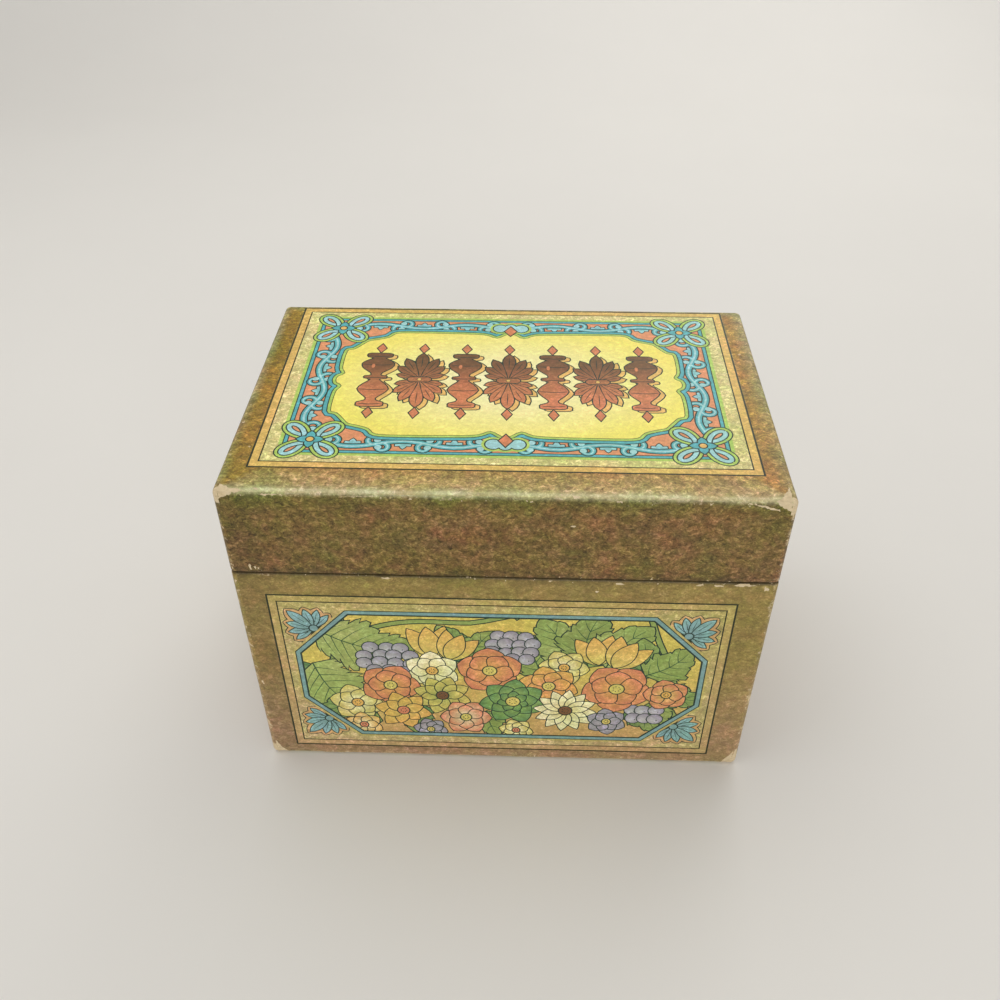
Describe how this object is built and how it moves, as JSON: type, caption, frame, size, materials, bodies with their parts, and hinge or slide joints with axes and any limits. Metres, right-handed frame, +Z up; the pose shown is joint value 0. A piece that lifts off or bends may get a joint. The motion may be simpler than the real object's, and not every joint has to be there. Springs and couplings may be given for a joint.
{
  "type": "card box",
  "caption": "Hinged-lid box in paper-covered chipboard with an inner neck, sized for index cards stood on edge.",
  "frame": {"origin": "centre of the base's underside, on the surface that the box stands on", "axes": "+Z up, +X along the box's width to the right of someone facing its front, -Y out of the front, hinge at the +Y side"},
  "size_m": [0.1396, 0.0917, 0.1025],
  "materials": {
    "printed_paper": "satin",
    "lining_paper": "matte",
    "neck_board": "matte",
    "chipboard": "matte",
    "stay_paper": "matte"
  },
  "bodies": {
    "base": {"base_board": "chipboard", "base_stay_front_left": "stay_paper", "base_stay_front_right": "stay_paper", "base_stay_back_left": "stay_paper", "base_stay_back_right": "stay_paper", "base_wrap": "printed_paper", "base_lining": "lining_paper", "base_foot_paper": "lining_paper", "neck": "neck_board", "hinge_strip_base_leaf": "printed_paper"},
    "lid": {"lid_board": "chipboard", "lid_stay_front_left": "stay_paper", "lid_stay_front_right": "stay_paper", "lid_stay_back_left": "stay_paper", "lid_stay_back_right": "stay_paper", "lid_wrap": "printed_paper", "lid_lining": "lining_paper", "hinge_strip_lid_leaf": "printed_paper"}
  },
  "joints": [
    {"name": "lid_hinge", "type": "hinge", "parent": "base", "child": "lid", "pos_m": [0, 0.046, 0.0756], "axis": [-1, 0, 0], "range_deg": [0, 175]}
  ]
}
